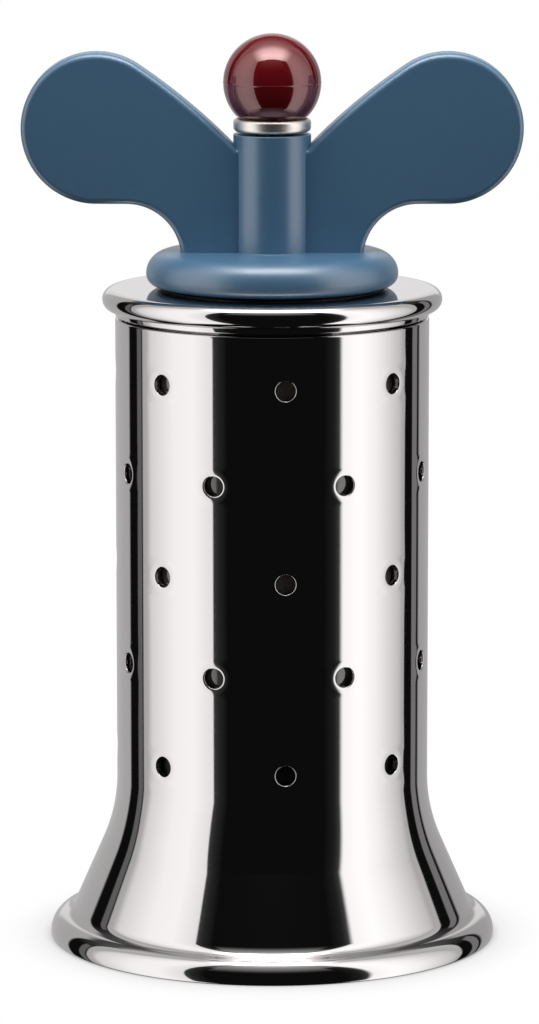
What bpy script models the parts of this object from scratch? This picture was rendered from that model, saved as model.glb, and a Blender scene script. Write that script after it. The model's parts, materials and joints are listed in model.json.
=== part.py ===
# Hand mill for coarse salt: a perforated steel shell on a flared foot, a winged handle that turns
# a ceramic burr, and a ball knob on the shaft's thread that sets how fine it grinds.
# Metres, +Z up. The origin is on the axis of the mill, on the surface that it stands on.
# Every joint turns or slides on that axis.

import math

import bmesh
import bpy
from mathutils import Matrix, Vector

MM = 0.001

# Fits and facets
CLEARANCE = 0.3 * MM  # between two pieces that seat or slide on each other
MERGE = 0.001 * MM
CUT_PAST = 2.0 * MM  # how far a cutter runs past the wall that it opens
ROUND_LARGE = 48  # facets round the shell and what is as wide
ROUND_MEDIUM = 32
ROUND_SMALL = 16
CHORD_ERROR = 0.04 * MM  # the most that a facet of an arc cuts off
SMOOTH_ANGLE = math.radians(32)  # edges that turn by less are shaded smooth

# Shell: a drawn steel tube that flares out to a rolled foot
SHELL_RADIUS = 22.7 * MM
SHELL_WALL = 1.0 * MM
SHELL_HEIGHT = 91.3 * MM
SHELL_TOP_EDGE = 0.4 * MM
FLARE_START = 24.0 * MM  # height at which the tube begins to open
FLARE_BEND = 24.5 * MM
FLARE_ANGLE = math.radians(23.7)
FOOT_BEAD = 2.9 * MM  # radius of the rolled edge
FOOT_BEAD_RISE = 0.6 * MM  # height of the bead's middle
FOOT_LEDGE = 0.16 * MM  # from the flare, at the height of the bead's top, to the middle of the bead
FOOT_FILLET = 3.0 * MM  # between the flare and the bead
FOOT_CHAMFER = 0.5 * MM

# Holes: rows of eight, each row moved on by half a step against the next
HOLE_RADIUS = 1.5 * MM
HOLE_SIDES = 12
HOLE_ROWS = 5
HOLES_ROUND = 8
HOLE_FIRST_ROW = 28.2 * MM
HOLE_LAST_ROW_DROP = 7.78 * MM  # from the top of the shell to the middle of the last row
HOLE_TURN = math.radians(4.85)  # from the front to the first hole of a row
HOLE_SEAM = 1.66 * MM  # more room between the last hole and the first, where the tube is welded

# Rim: a turned steel ring on top of the shell, round the filling mouth
RIM_OVERHANG = 1.9 * MM
RIM_THICKNESS = 3.1 * MM  # of the overhang, which is fully rounded
RIM_COLLAR = 0.75 * MM  # height of the plain band below the overhang
RIM_LIP_DEPTH = 3.3 * MM  # of the lip that goes down inside the hopper
RIM_LIP_WALL = 1.6 * MM
MOUTH_SHOULDER = 5.4 * MM  # how far the ring reaches in over the hopper
MOUTH_STEP_WIDTH = 1.6 * MM
MOUTH_STEP_DEPTH = 0.8 * MM

# Mouth bush: the plastic ring that the handle turns in
BUSH_WALL = 1.1 * MM
BUSH_DEPTH = 4.5 * MM

# Hopper: a lining in the shell that holds the salt, seen through the holes
HOPPER_WALL = 1.2 * MM

# Handle: a disc, a column and two wings in one moulding
DISC_LIFT = 0.4 * MM  # height of the disc above the rim
DISC_COVER = 0.6 * MM  # how far the disc reaches past the bush in the mouth
DISC_THICKNESS = 4.95 * MM
DISC_TOP_EDGE = 3.2 * MM
DISC_UNDER_EDGE = 1.7 * MM
SPIGOT_DEPTH = 5.0 * MM
COLUMN_RADIUS = 5.6 * MM
COLUMN_HEIGHT = 16.9 * MM
WING_THICKNESS = 5.8 * MM
WING_EDGE = 0.9 * MM
WING_ROOT = 2.0 * MM  # how far the wings run down into the disc
LOBE_REACH = 25.25 * MM  # from the axis to the middle of a wing's lobe
LOBE_RISE = 17.8 * MM  # from the top of the disc to the middle of the lobe
LOBE_RADIUS = 10.83 * MM
WING_TOP_BEND = 88.0 * MM
WING_TOP_LEAN = 34.0  # degrees of slope where the lobe runs into the upper edge
WING_TOP_TURN = 12.0  # degrees that the upper edge bends on its way to the column
WING_UNDER_BEND = 7.9 * MM
WING_UNDER_REACH = 21.0 * MM  # from the axis to where the lower edge begins to bend down

# Turn plate under the handle, which carries the turn to the shaft
PLATE_RADIUS = 10.2 * MM
PLATE_THICKNESS = 1.5 * MM
PLATE_SCREW_REACH = 6.8 * MM

# Ball knob
FERRULE_RADIUS = 5.6 * MM
FERRULE_THICKNESS = 2.0 * MM
FERRULE_EDGE = 0.7 * MM
BALL_RADIUS = 7.05 * MM
BALL_SEAT_RADIUS = 5.2 * MM  # of the flat that sits on the ferrule
INSERT_WALL = 0.8 * MM
INSERT_LENGTH = 7.2 * MM

# Shaft: square where it drives, round at both ends
SHAFT_SIDE = 4.5 * MM
SHAFT_THREAD_RADIUS = 2.0 * MM
SHAFT_THREAD_LENGTH = 14.5 * MM
SHAFT_PIN_RADIUS = 2.0 * MM
SHAFT_PIN_PAST_BAR = 2.2 * MM
SHAFT_COLLAR_RADIUS = 4.2 * MM
SHAFT_COLLAR_THICKNESS = 1.5 * MM

# Burr housing: a cup that carries the burr ring in the foot
HOUSING_HEIGHT = 13.0 * MM  # of its underside above the table
HOUSING_FLANGE = 1.6 * MM
HOUSING_NECK_STEP = 1.8 * MM  # that the neck is narrower than the head
HOUSING_NECK_WALL = 4.3 * MM
HOUSING_HEAD = 5.0 * MM  # length that fits the straight part of the shell
HOUSING_LEDGE = 2.3 * MM  # that keeps the burr ring down
HOUSING_FUNNEL = 4.8 * MM

# Burrs: a ring with teeth inside, and a cone with teeth outside
RING_HEIGHT = 14.0 * MM
RING_WALL = 2.45 * MM  # behind the roots of the teeth at the outlet
RING_NARROWING = 1.05 * MM  # of the toothed bore, from its outlet to its top
CONE_RISE = 0.9 * MM  # of the cone's underside above the ring's
CONE_PROUD = 0.2 * MM  # of the cone's top above the ring's
CONE_NARROWING = 3.6 * MM
GRIND_GAP = 0.45 * MM  # between the teeth at the outlet, on the finest setting
TEETH = 24
TOOTH_DEPTH = 1.1 * MM
TOOTH_SHAPE = ((0.0, False), (0.3, False), (0.5, True))  # share of a pitch, and whether it is a root
CONE_TWIST = math.radians(40)
RING_TWIST = math.radians(-22)
BURR_RINGS = 5

# Guide that keeps the shaft upright in the hopper, and the sleeve that turns in it
GUIDE_ROOM = 1.0 * MM  # between the shaft's collar and the guide
GUIDE_THICKNESS = 3.2 * MM
GUIDE_RIM_WIDTH = 1.8 * MM
GUIDE_ARMS = 3
GUIDE_ARM_WIDTH = 2.6 * MM
GUIDE_HUB_WALL = 1.6 * MM
SLEEVE_WALL = 1.1 * MM  # at the corners of its square hole
SLEEVE_FLANGE = 1.0 * MM

# Spring, washer, nut and bar under the cone
WASHER_RADIUS = 6.6 * MM
WASHER_THICKNESS = 0.8 * MM
NUT_RADIUS = 3.4 * MM
NUT_HEIGHT = 2.0 * MM
SPRING_WIRE = 0.8 * MM
SPRING_RADIUS = 5.0 * MM  # to the middle of the wire
SPRING_TURNS = 2.75
SPRING_POINTS = 10  # to a turn
BAR_WIDTH = 8.0 * MM
BAR_THICKNESS = 1.2 * MM
BAR_DROP = 4.8 * MM
BAR_WELL = 8.6 * MM  # half the length of the sunk middle
BAR_SLOPE = 2.4 * MM
BAR_TAB = 3.0 * MM  # from the screw to the end of the bar

# Screws
SCREW_RADIUS = 1.1 * MM
SCREW_HEAD_RADIUS = 2.1 * MM
SCREW_HEAD = 1.4 * MM
SCREW_HEAD_EDGE = 0.5 * MM
BAR_SCREW_LENGTH = 8.5 * MM
PLATE_SCREW_LENGTH = 5.2 * MM

# Heights that follow from the sizes above
RIM_SEAT = SHELL_HEIGHT + CLEARANCE
RIM_TOP = RIM_SEAT + RIM_COLLAR + RIM_THICKNESS
DISC_SEAT = RIM_TOP + DISC_LIFT
DISC_TOP = DISC_SEAT + DISC_THICKNESS
COLUMN_TOP = DISC_TOP + COLUMN_HEIGHT
SPIGOT_FOOT = DISC_SEAT - SPIGOT_DEPTH
FERRULE_SEAT = COLUMN_TOP + CLEARANCE
BALL_SEAT = FERRULE_SEAT + FERRULE_THICKNESS + CLEARANCE
HOLE_ROW_STEP = (SHELL_HEIGHT - HOLE_LAST_ROW_DROP - HOLE_FIRST_ROW) / (HOLE_ROWS - 1)
RING_SEAT = HOUSING_HEIGHT + CLEARANCE
CONE_SEAT = RING_SEAT + CONE_RISE
CONE_HEIGHT = RING_HEIGHT - CONE_RISE + CONE_PROUD
COLLAR_SEAT = CONE_SEAT + CONE_HEIGHT + CLEARANCE
GUIDE_SEAT = COLLAR_SEAT + SHAFT_COLLAR_THICKNESS + GUIDE_ROOM
HOUSING_LENGTH = GUIDE_SEAT - CLEARANCE - HOUSING_HEIGHT
WASHER_SEAT = CONE_SEAT - CLEARANCE - WASHER_THICKNESS
NUT_SEAT = WASHER_SEAT - CLEARANCE - NUT_HEIGHT
BAR_TOP = HOUSING_HEIGHT - CLEARANCE
WELL_TOP = BAR_TOP - BAR_DROP
PIN_FOOT = WELL_TOP - BAR_THICKNESS - SHAFT_PIN_PAST_BAR
THREAD_TOP = BALL_SEAT + INSERT_LENGTH - CLEARANCE
THREAD_SEAT = THREAD_TOP - SHAFT_THREAD_LENGTH

# Widths and angles that follow
SHELL_BORE = SHELL_RADIUS - SHELL_WALL
HOLE_PITCH = (math.tau - HOLE_SEAM / SHELL_RADIUS) / HOLES_ROUND
HOPPER_RADIUS = SHELL_BORE - CLEARANCE
MOUTH_RADIUS = HOPPER_RADIUS - MOUTH_SHOULDER
DISC_RADIUS = MOUTH_RADIUS + MOUTH_STEP_WIDTH + DISC_COVER
BUSH_RADIUS = MOUTH_RADIUS - CLEARANCE
BUSH_BORE = BUSH_RADIUS - BUSH_WALL
SPIGOT_RADIUS = BUSH_BORE - CLEARANCE
HOPPER_BORE = HOPPER_RADIUS - HOPPER_WALL
HOUSING_HEAD_RADIUS = SHELL_BORE - CLEARANCE
HOUSING_NECK = HOUSING_HEAD_RADIUS - HOUSING_NECK_STEP
RING_SOCKET = HOUSING_NECK - HOUSING_NECK_WALL
RING_RADIUS = RING_SOCKET - CLEARANCE
CONE_RADIUS = RING_RADIUS - RING_WALL - TOOTH_DEPTH - GRIND_GAP
SCREW_HOLE = SCREW_RADIUS + CLEARANCE
BAR_SCREW_REACH = (RING_SOCKET + HOUSING_NECK) / 2
SQUARE_HOLE = SHAFT_SIDE + 2 * CLEARANCE
SHAFT_BORE = SHAFT_SIDE / math.sqrt(2) + CLEARANCE
SLEEVE_RADIUS = SQUARE_HOLE / math.sqrt(2) + SLEEVE_WALL
HUB_BORE = SLEEVE_RADIUS + CLEARANCE
HUB_RADIUS = HUB_BORE + GUIDE_HUB_WALL
THREAD_BORE = SHAFT_THREAD_RADIUS + CLEARANCE
INSERT_RADIUS = THREAD_BORE + INSERT_WALL
PIN_BORE = SHAFT_PIN_RADIUS + CLEARANCE


def finish(name, colour, roughness, metallic=0.0):
    material = bpy.data.materials.new(name)
    material.use_nodes = True
    shader = material.node_tree.nodes["Principled BSDF"]
    shader.inputs["Base Color"].default_value = (*colour, 1.0)
    shader.inputs["Roughness"].default_value = roughness
    shader.inputs["Metallic"].default_value = metallic
    return material


def place(name, data, level, carrier, material):
    """Puts a mesh or curve on the axis at its height, under the empty that carries it."""
    data.materials.append(material)
    piece = bpy.data.objects.new(name, data)
    bpy.context.scene.collection.objects.link(piece)
    piece.location.z = level
    piece.parent = carrier
    return piece


def add(name, shape, level, carrier, material):
    bmesh.ops.recalc_face_normals(shape, faces=shape.faces)
    mesh = bpy.data.meshes.new(name)
    shape.to_mesh(mesh)
    shape.free()
    mesh.shade_smooth()
    mesh.set_sharp_from_angle(angle=SMOOTH_ANGLE)
    return place(name, mesh, level, carrier, material)


def boolean(piece, operation, name, shape, level=0.0):
    """Cuts a shape out of a piece, or joins it on. The level is above the origin of the piece."""
    helper = add(f"{piece.name}_{name}", shape, level, piece, piece.data.materials[0])
    helper.hide_render = True
    helper.display_type = "WIRE"
    step = piece.modifiers.new(name, "BOOLEAN")
    step.operation = operation
    step.object = helper


def arc(centre, radius, start, end):
    """Points on an arc, from one angle to another in degrees, both ends included."""
    facet = math.degrees(2 * math.acos(1 - CHORD_ERROR / radius))
    steps = math.ceil(abs(end - start) / facet)
    angles = [math.radians(start + (end - start) * i / steps) for i in range(steps + 1)]
    return [(centre[0] + radius * math.cos(a), centre[1] + radius * math.sin(a)) for a in angles]


def turned(outline, facets):
    """A closed outline of radius and height, spun about the axis. An edge on the axis is left out."""
    shape = bmesh.new()
    ring = [shape.verts.new((radius, 0.0, height)) for radius, height in outline]
    pairs = zip(ring, ring[1:] + ring[:1])
    sides = [shape.edges.new(pair) for pair in pairs if max(v.co.x for v in pair) > MERGE]
    bmesh.ops.spin(
        shape, geom=ring + sides, cent=(0, 0, 0), axis=(0, 0, 1),
        angle=math.tau, steps=facets, use_merge=True,
    )
    bmesh.ops.remove_doubles(shape, verts=shape.verts, dist=MERGE)
    return shape


def tube(bore, radius, length, facets):
    return turned([(bore, 0.0), (radius, 0.0), (radius, length), (bore, length)], facets)


def rod(radius, length, facets, side=0.0):
    """A round rod, standing on the axis or beside it along X."""
    shape = turned([(0.0, 0.0), (radius, 0.0), (radius, length), (0.0, length)], facets)
    bmesh.ops.translate(shape, verts=shape.verts, vec=(side, 0, 0))
    return shape


def prism(outline, length):
    """A flat outline extruded upwards."""
    shape = bmesh.new()
    face = shape.faces.new([shape.verts.new((x, y, 0.0)) for x, y in outline])
    top = bmesh.ops.extrude_face_region(shape, geom=[face])["geom"]
    corners = [part for part in top if isinstance(part, bmesh.types.BMVert)]
    bmesh.ops.translate(shape, verts=corners, vec=(0, 0, length))
    return shape


def slab(outline, thickness):
    """An upright plate: its outline is drawn in X and Z, and its thickness is centred on the axis."""
    shape = prism(outline, thickness)
    bmesh.ops.translate(shape, verts=shape.verts, vec=(0, 0, -thickness / 2))
    bmesh.ops.rotate(shape, verts=shape.verts, matrix=Matrix.Rotation(math.radians(90), 3, "X"))
    return shape


def polygon(radius, sides, start=0.0):
    angles = [math.radians(start) + math.tau * i / sides for i in range(sides)]
    return [(radius * math.cos(a), radius * math.sin(a)) for a in angles]


def square(side):
    return polygon(side / math.sqrt(2), 4, 45)


def axis(name, carrier=None):
    empty = bpy.data.objects.new(name, None)
    bpy.context.scene.collection.objects.link(empty)
    empty.parent = carrier
    return empty


def cone_radius(height):
    """Outer radius of the flare's straight cone, below its bend."""
    bend_radius = SHELL_RADIUS + FLARE_BEND * (1 - math.cos(FLARE_ANGLE))
    bend_height = FLARE_START - FLARE_BEND * math.sin(FLARE_ANGLE)
    return bend_radius + (bend_height - height) * math.tan(FLARE_ANGLE)


def shell_bore(height):
    """Inner radius of the shell at a height: straight tube, bend or cone."""
    drop = FLARE_START - height
    inner_bend = FLARE_BEND + SHELL_WALL
    if drop <= 0:
        return SHELL_BORE
    if drop < inner_bend * math.sin(FLARE_ANGLE):
        return SHELL_RADIUS + FLARE_BEND - math.sqrt(inner_bend**2 - drop**2)
    return cone_radius(height) - SHELL_WALL / math.cos(FLARE_ANGLE)


def foot_fillet(bead):
    """The hollow that runs from the flare into the rolled edge, and the outside of that edge."""
    cone_gap = (cone_radius(bead[1]) - bead[0]) * math.cos(FLARE_ANGLE)
    reach = FOOT_BEAD + FOOT_FILLET
    meet = FLARE_ANGLE + math.acos((cone_gap + FOOT_FILLET) / reach)
    hollow = (bead[0] + reach * math.cos(meet), bead[1] + reach * math.sin(meet))
    flare, turn = math.degrees(FLARE_ANGLE), math.degrees(meet)
    return arc(hollow, FOOT_FILLET, 180 + flare, 180 + turn) + arc(bead, FOOT_BEAD, turn, 0)[1:]


def make_shell(carrier):
    bend = (SHELL_RADIUS + FLARE_BEND, FLARE_START)
    bend_end = 180 + math.degrees(FLARE_ANGLE)
    bead_top = FOOT_BEAD_RISE + FOOT_BEAD
    bead = (cone_radius(bead_top) + FOOT_LEDGE, FOOT_BEAD_RISE)
    foot_bore = shell_bore(bead_top)
    top_edge = (SHELL_RADIUS - SHELL_TOP_EDGE, SHELL_HEIGHT - SHELL_TOP_EDGE)
    outline = [(SHELL_BORE, SHELL_HEIGHT)] + arc(top_edge, SHELL_TOP_EDGE, 90, 0)
    outline += arc(bend, FLARE_BEND, 180, bend_end)
    outline += foot_fillet(bead)
    outline += [(bead[0] + FOOT_BEAD - FOOT_CHAMFER, 0.0), (foot_bore, 0.0), (foot_bore, bead_top)]
    outline += arc(bend, FLARE_BEND + SHELL_WALL, bend_end, 180)
    shell = add("shell", turned(outline, ROUND_LARGE), 0.0, carrier, STEEL)

    drill = bmesh.new()
    lie_down = Matrix.Rotation(math.radians(90), 4, "X")
    for row in range(HOLE_ROWS):
        reach = Matrix.Translation((0, -SHELL_RADIUS, HOLE_FIRST_ROW + row * HOLE_ROW_STEP))
        for hole in range(HOLES_ROUND):
            turn = HOLE_TURN + HOLE_PITCH * (hole + row % 2 / 2)
            bmesh.ops.create_cone(
                drill, cap_ends=True, segments=HOLE_SIDES, radius1=HOLE_RADIUS, radius2=HOLE_RADIUS,
                depth=2 * (SHELL_WALL + CUT_PAST), matrix=Matrix.Rotation(turn, 4, "Z") @ reach @ lie_down,
            )
    boolean(shell, "DIFFERENCE", "holes", drill)


def make_rim(carrier):
    edge = RIM_THICKNESS / 2
    nose = (SHELL_RADIUS + RIM_OVERHANG - edge, RIM_COLLAR + edge)
    step = MOUTH_RADIUS + MOUTH_STEP_WIDTH
    height = RIM_COLLAR + RIM_THICKNESS
    step_floor = height - MOUTH_STEP_DEPTH
    lip_radius = HOPPER_BORE - CLEARANCE
    lip_bore = lip_radius - RIM_LIP_WALL
    outline = [(MOUTH_RADIUS, step_floor), (MOUTH_RADIUS, 0.0), (lip_bore, 0.0)]
    outline += [(lip_bore, -RIM_LIP_DEPTH), (lip_radius, -RIM_LIP_DEPTH), (lip_radius, 0.0)]
    outline += [(SHELL_RADIUS, 0.0), (SHELL_RADIUS, RIM_COLLAR)] + arc(nose, edge, -90, 90)
    outline += [(step, height), (step, step_floor)]
    add("rim_ring", turned(outline, ROUND_LARGE), RIM_SEAT, carrier, STEEL)


def make_mouth_bush(carrier):
    flange = MOUTH_RADIUS + MOUTH_STEP_WIDTH - CLEARANCE
    flange_seat = RIM_TOP - MOUTH_STEP_DEPTH + CLEARANCE
    flange_top = DISC_SEAT - CLEARANCE - flange_seat
    outline = [(BUSH_BORE, -BUSH_DEPTH), (BUSH_RADIUS, -BUSH_DEPTH), (BUSH_RADIUS, 0.0)]
    outline += [(flange, 0.0), (flange, flange_top), (BUSH_BORE, flange_top)]
    add("mouth_bush", turned(outline, ROUND_LARGE), flange_seat, carrier, NYLON)


def make_hopper(carrier):
    length = RIM_SEAT - CLEARANCE - GUIDE_SEAT
    shape = tube(HOPPER_BORE, HOPPER_RADIUS, length, ROUND_LARGE)
    add("hopper_tube", shape, GUIDE_SEAT, carrier, SMOKED_PLASTIC)


def make_housing(carrier):
    """A flange against the flare, a neck round the burr ring, and a head that fits the straight tube."""
    flange_fit = CLEARANCE / math.cos(FLARE_ANGLE)
    flange_foot = shell_bore(HOUSING_HEIGHT) - flange_fit
    flange_edge = shell_bore(HOUSING_HEIGHT + HOUSING_FLANGE) - flange_fit
    head_foot = HOUSING_LENGTH - HOUSING_HEAD
    ledge = RING_HEIGHT + 2 * CLEARANCE
    mouth = RING_SOCKET - HOUSING_LEDGE
    outline = [(RING_SOCKET, 0.0), (flange_foot, 0.0), (flange_edge, HOUSING_FLANGE)]
    outline += [(HOUSING_NECK, HOUSING_FLANGE), (HOUSING_NECK, head_foot - HOUSING_NECK_STEP)]
    outline += [(HOUSING_HEAD_RADIUS, head_foot), (HOUSING_HEAD_RADIUS, HOUSING_LENGTH)]
    outline += [(mouth + HOUSING_FUNNEL, HOUSING_LENGTH)]
    outline += [(mouth, ledge), (RING_SOCKET, ledge)]
    housing = add("burr_housing", turned(outline, ROUND_MEDIUM), HOUSING_HEIGHT, carrier, NYLON)
    hole = BAR_SCREW_LENGTH - BAR_THICKNESS + CUT_PAST
    for side, reach in SIDES.items():
        drill = rod(SCREW_HOLE, hole, ROUND_SMALL, reach * BAR_SCREW_REACH)
        boolean(housing, "DIFFERENCE", f"hole_{side}", drill, -CUT_PAST)


def toothed(foot_radius, top_radius, foot, top, twist):
    """A toothed cone between two heights. Every second tooth fades out towards the top, so that
    coarse teeth take the salt in and fine teeth finish it."""
    shape = bmesh.new()
    loops = []
    for step in range(BURR_RINGS + 1):
        share = step / BURR_RINGS
        radius = foot_radius + (top_radius - foot_radius) * share
        loop = []
        for tooth in range(TEETH):
            fade = share * (tooth % 2)
            for phase, root in TOOTH_SHAPE:
                angle = math.tau * (tooth + phase) / TEETH + twist * share
                reach = radius - TOOTH_DEPTH * (1.0 if root else fade)
                height = foot + (top - foot) * share
                loop.append(shape.verts.new((reach * math.cos(angle), reach * math.sin(angle), height)))
        loops.append(loop)
    for low, high in zip(loops, loops[1:]):
        for i, corner in enumerate(low):
            j = (i + 1) % len(low)
            shape.faces.new((corner, low[j], high[j], high[i]))
    shape.faces.new(loops[0][::-1])
    shape.faces.new(loops[-1])
    return shape


def make_burrs(ring_carrier, cone_carrier):
    ring = add("burr_ring", rod(RING_RADIUS, RING_HEIGHT, ROUND_LARGE), RING_SEAT, ring_carrier, CERAMIC)
    outlet = CONE_RADIUS + GRIND_GAP + TOOTH_DEPTH
    bore = toothed(outlet, outlet - RING_NARROWING, -CUT_PAST, RING_HEIGHT + CUT_PAST, RING_TWIST)
    boolean(ring, "DIFFERENCE", "bore", bore)

    top = CONE_RADIUS - CONE_NARROWING
    shape = toothed(CONE_RADIUS, top, 0.0, CONE_HEIGHT, CONE_TWIST)
    cone = add("burr_cone", shape, CONE_SEAT, cone_carrier, CERAMIC)
    boolean(cone, "DIFFERENCE", "hole", prism(square(SQUARE_HOLE), CONE_HEIGHT + 2 * CUT_PAST), -CUT_PAST)


def make_guide(carrier, sleeve_carrier):
    """A spider in the foot of the hopper, and the sleeve with a square hole that turns in its hub."""
    rim = HOPPER_BORE - CLEARANCE
    rim_bore = rim - GUIDE_RIM_WIDTH
    shape = tube(rim_bore, rim, GUIDE_THICKNESS, ROUND_LARGE)
    guide = add("shaft_guide", shape, GUIDE_SEAT, carrier, NYLON)
    half = GUIDE_ARM_WIDTH / 2
    inner = (HUB_BORE + HUB_RADIUS) / 2
    outer = rim - GUIDE_RIM_WIDTH / 2
    for arm in range(GUIDE_ARMS):
        shape = prism([(inner, -half), (outer, -half), (outer, half), (inner, half)], GUIDE_THICKNESS)
        turn = Matrix.Rotation(math.radians(90) + math.tau * arm / GUIDE_ARMS, 3, "Z")
        bmesh.ops.rotate(shape, verts=shape.verts, matrix=turn)
        boolean(guide, "UNION", f"arm_{arm + 1}", shape)
    boolean(guide, "UNION", "hub", tube(HUB_BORE, HUB_RADIUS, GUIDE_THICKNESS, ROUND_MEDIUM))

    flange_foot = GUIDE_THICKNESS + CLEARANCE
    flange_top = flange_foot + SLEEVE_FLANGE
    outline = [(0.0, 0.0), (SLEEVE_RADIUS, 0.0), (SLEEVE_RADIUS, flange_foot), (HUB_RADIUS, flange_foot)]
    outline += [(HUB_RADIUS, flange_top), (0.0, flange_top)]
    sleeve = add("drive_sleeve", turned(outline, ROUND_MEDIUM), GUIDE_SEAT, sleeve_carrier, NYLON)
    boolean(sleeve, "DIFFERENCE", "hole", prism(square(SQUARE_HOLE), flange_top + 2 * CUT_PAST), -CUT_PAST)


def make_shaft(carrier):
    length = THREAD_SEAT - CONE_SEAT
    shaft = add("shaft", prism(square(SHAFT_SIDE), length), CONE_SEAT, carrier, SHAFT_STEEL)
    thread = rod(SHAFT_THREAD_RADIUS, SHAFT_THREAD_LENGTH + CUT_PAST, ROUND_SMALL)
    boolean(shaft, "UNION", "thread", thread, length - CUT_PAST)
    pin = rod(SHAFT_PIN_RADIUS, CONE_SEAT - PIN_FOOT + CUT_PAST, ROUND_SMALL)
    boolean(shaft, "UNION", "pin", pin, PIN_FOOT - CONE_SEAT)
    collar = rod(SHAFT_COLLAR_RADIUS, SHAFT_COLLAR_THICKNESS, ROUND_MEDIUM)
    boolean(shaft, "UNION", "collar", collar, COLLAR_SEAT - CONE_SEAT)


def straight_on(before, end):
    """A point one wire's width past the end of the spring, level with it."""
    run = Vector((end[0] - before[0], end[1] - before[1], 0.0)).normalized()
    return tuple(Vector(end) + SPRING_WIRE * run)


def make_spring_set(carrier, shaft_carrier):
    """The washer and nut under the cone, and the spring that lifts them off the bar."""
    shape = tube(PIN_BORE, WASHER_RADIUS, WASHER_THICKNESS, ROUND_MEDIUM)
    add("thrust_washer", shape, WASHER_SEAT, shaft_carrier, SHAFT_STEEL)
    nut = add("cone_nut", prism(polygon(NUT_RADIUS, 6), NUT_HEIGHT), NUT_SEAT, shaft_carrier, SHAFT_STEEL)
    boolean(nut, "DIFFERENCE", "hole", rod(PIN_BORE, NUT_HEIGHT + 2 * CUT_PAST, ROUND_SMALL), -CUT_PAST)

    length = WASHER_SEAT - WELL_TOP - 2 * CLEARANCE - SPRING_WIRE
    count = round(SPRING_TURNS * SPRING_POINTS)
    points = []
    for i in range(count + 1):
        angle = math.tau * i / SPRING_POINTS
        height = SPRING_WIRE / 2 + length * i / count
        points.append((SPRING_RADIUS * math.cos(angle), SPRING_RADIUS * math.sin(angle), height))
    points = [straight_on(points[1], points[0])] + points + [straight_on(points[-2], points[-1])]
    apart = [
        math.dist(p, q) - SPRING_WIRE
        for i, p in enumerate(points)
        for q in points[i + SPRING_POINTS // 2:]
    ]
    print(f"spring: least gap to itself {min(apart) / MM:.2f} mm")
    coil = bpy.data.curves.new("spring", "CURVE")
    coil.dimensions = "3D"
    coil.bevel_depth = SPRING_WIRE / 2
    coil.bevel_resolution = 1
    coil.use_fill_caps = True
    line = coil.splines.new("POLY")
    line.points.add(len(points) - 1)
    for corner, point in zip(line.points, points):
        corner.co = (*point, 1.0)
    place("spring", coil, WELL_TOP + CLEARANCE, carrier, SHAFT_STEEL)


def make_screw(name, length, side, level, carrier):
    """A pan-head screw, head down. The level is the underside of what it holds."""
    crown = arc((SCREW_HEAD_RADIUS - SCREW_HEAD_EDGE, SCREW_HEAD_EDGE), SCREW_HEAD_EDGE, -90, 0)
    outline = [(0.0, 0.0)] + crown + [(SCREW_HEAD_RADIUS, SCREW_HEAD), (SCREW_RADIUS, SCREW_HEAD)]
    outline += [(SCREW_RADIUS, SCREW_HEAD + length), (0.0, SCREW_HEAD + length)]
    screw = add(name, turned(outline, ROUND_SMALL), level - CLEARANCE - SCREW_HEAD, carrier, SHAFT_STEEL)
    screw.location.x = side


def make_bar(carrier):
    """A bent steel strip: two tabs under the housing, and a sunk middle that carries the spring and pin."""
    end = BAR_SCREW_REACH + BAR_TAB
    right = [(end, 0.0), (BAR_WELL + BAR_SLOPE, 0.0), (BAR_WELL, -BAR_DROP)]
    top = right + [(-x, z) for x, z in right[::-1]]
    under = [(x, z - BAR_THICKNESS) for x, z in top[::-1]]
    bar = add("retaining_bar", slab(top + under, BAR_WIDTH), BAR_TOP, carrier, SHAFT_STEEL)
    deep = BAR_DROP + BAR_THICKNESS + 2 * CUT_PAST
    boolean(bar, "DIFFERENCE", "pin_hole", rod(PIN_BORE, deep, ROUND_SMALL), CUT_PAST - deep)
    for side, reach in SIDES.items():
        place_x = reach * BAR_SCREW_REACH
        drill = rod(SCREW_HOLE, deep, ROUND_SMALL, place_x)
        boolean(bar, "DIFFERENCE", f"hole_{side}", drill, CUT_PAST - deep)
        make_screw(f"bar_screw_{side}", BAR_SCREW_LENGTH, place_x, BAR_TOP - BAR_THICKNESS, carrier)


def wing_outline():
    """The right wing's edge from the disc round to the column, in X and height above the disc."""
    lean = 90 + WING_TOP_LEAN
    lobe = (LOBE_REACH, LOBE_RISE)
    under = (WING_UNDER_REACH, LOBE_RISE - LOBE_RADIUS - WING_UNDER_BEND)
    across = math.cos(math.radians(lean))
    up = math.sin(math.radians(lean))
    reach = WING_TOP_BEND - LOBE_RADIUS
    upper = (LOBE_REACH - reach * across, LOBE_RISE - reach * up)
    edge = arc(under, WING_UNDER_BEND, 180, 90)
    edge += arc(lobe, LOBE_RADIUS, -90, lean)
    edge += arc(upper, WING_TOP_BEND, lean, lean + WING_TOP_TURN)[1:]
    return edge


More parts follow.
